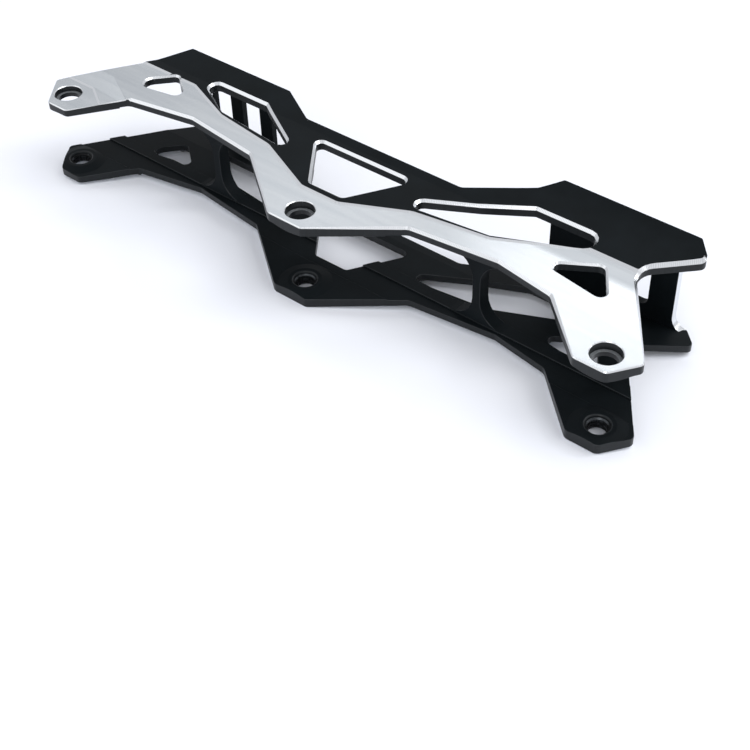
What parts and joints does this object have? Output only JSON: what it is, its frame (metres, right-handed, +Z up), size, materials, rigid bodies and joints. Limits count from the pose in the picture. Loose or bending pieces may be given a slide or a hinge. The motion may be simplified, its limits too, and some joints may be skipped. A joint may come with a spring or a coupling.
{
  "type": "inline skate frame",
  "caption": "Bare inline skate frame with windowed side walls, two slotted boot decks at different heights, low cross bars and axle holes.",
  "frame": {"origin": "on the table under the middle of the frame, which lies on its lower side wall", "axes": "+X from toe to heel, +Y from the wheels towards the boot, +Z up along the axles, out of the wall that takes the axle heads"},
  "size_m": [0.2652, 0.0716, 0.0446],
  "materials": {
    "anodised_aluminium": "satin",
    "milled_aluminium": "satin",
    "steel": "satin"
  },
  "bodies": {
    "root": {"upper_side_wall": "anodised_aluminium", "lower_side_wall": "anodised_aluminium", "front_deck": "anodised_aluminium", "rear_deck": "anodised_aluminium", "front_cross_bar": "anodised_aluminium", "rear_cross_bar": "anodised_aluminium", "thread_bush_front": "steel", "thread_bush_middle": "steel", "thread_bush_rear": "steel"}
  },
  "joints": []
}
